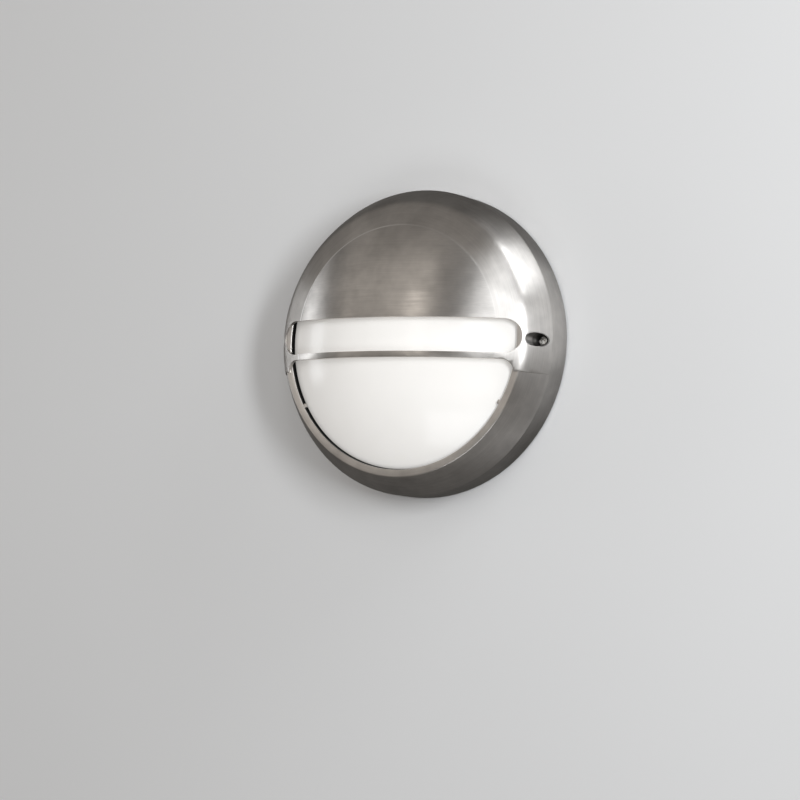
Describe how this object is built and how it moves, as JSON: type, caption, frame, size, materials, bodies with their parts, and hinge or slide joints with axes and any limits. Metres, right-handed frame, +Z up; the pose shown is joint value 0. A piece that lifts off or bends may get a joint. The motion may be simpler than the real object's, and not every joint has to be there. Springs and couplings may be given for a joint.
{
  "type": "outdoor wall light",
  "caption": "Round brushed-metal outdoor wall light with an eyelid hood, a slot and a lower window over a domed opal glass, holding a screw-cap lamp.",
  "frame": {"origin": "on the wall plane, on the axis of the round body", "axes": "+Z is up, the front faces -Y, +Y goes into the wall"},
  "size_m": [0.26, 0.0822, 0.26],
  "materials": {
    "brushed_cover": "brushed",
    "opal_glass": "satin opal, lit from inside",
    "black_rubber": "matt",
    "spring_steel": "plain",
    "screw_steel": "plated",
    "cover_screw_steel": "plain",
    "cast_base": "as cast",
    "ceramic": "glazed",
    "brass": "plain",
    "bulb_glass": "opal",
    "white_plastic": "plain",
    "brown_cable": "plain",
    "blue_cable": "plain",
    "green_cable": "plain",
    "white_plate": "white enamel"
  },
  "bodies": {
    "root": {"front_cover": "brushed_cover", "opal_glass": "opal_glass", "glass_gasket": "black_rubber", "glass_clips": "spring_steel", "clip_screws": "screw_steel", "base_plate": "cast_base", "rim_gasket": "black_rubber", "wall_gasket": "black_rubber", "cover_screws": "cover_screw_steel", "screw_seals": "black_rubber", "fixing_washers": "black_rubber", "entry_grommet": "black_rubber", "entry_plug": "black_rubber", "lamp_bracket": "spring_steel", "bracket_screws": "screw_steel", "holder_body": "ceramic", "holder_shell": "brass", "holder_contact": "brass", "holder_posts": "brass", "holder_screws": "screw_steel", "bulb": "bulb_glass", "terminal_body": "white_plastic", "terminal_tubes": "brass", "terminal_screws": "screw_steel", "block_screws": "screw_steel", "live_lead": "brown_cable", "neutral_lead": "blue_cable", "earth_lead": "green_cable", "earth_lug": "spring_steel", "earth_washer": "screw_steel", "earth_screw": "brass", "reflector": "white_plate", "reflector_screws": "screw_steel"}
  },
  "joints": []
}
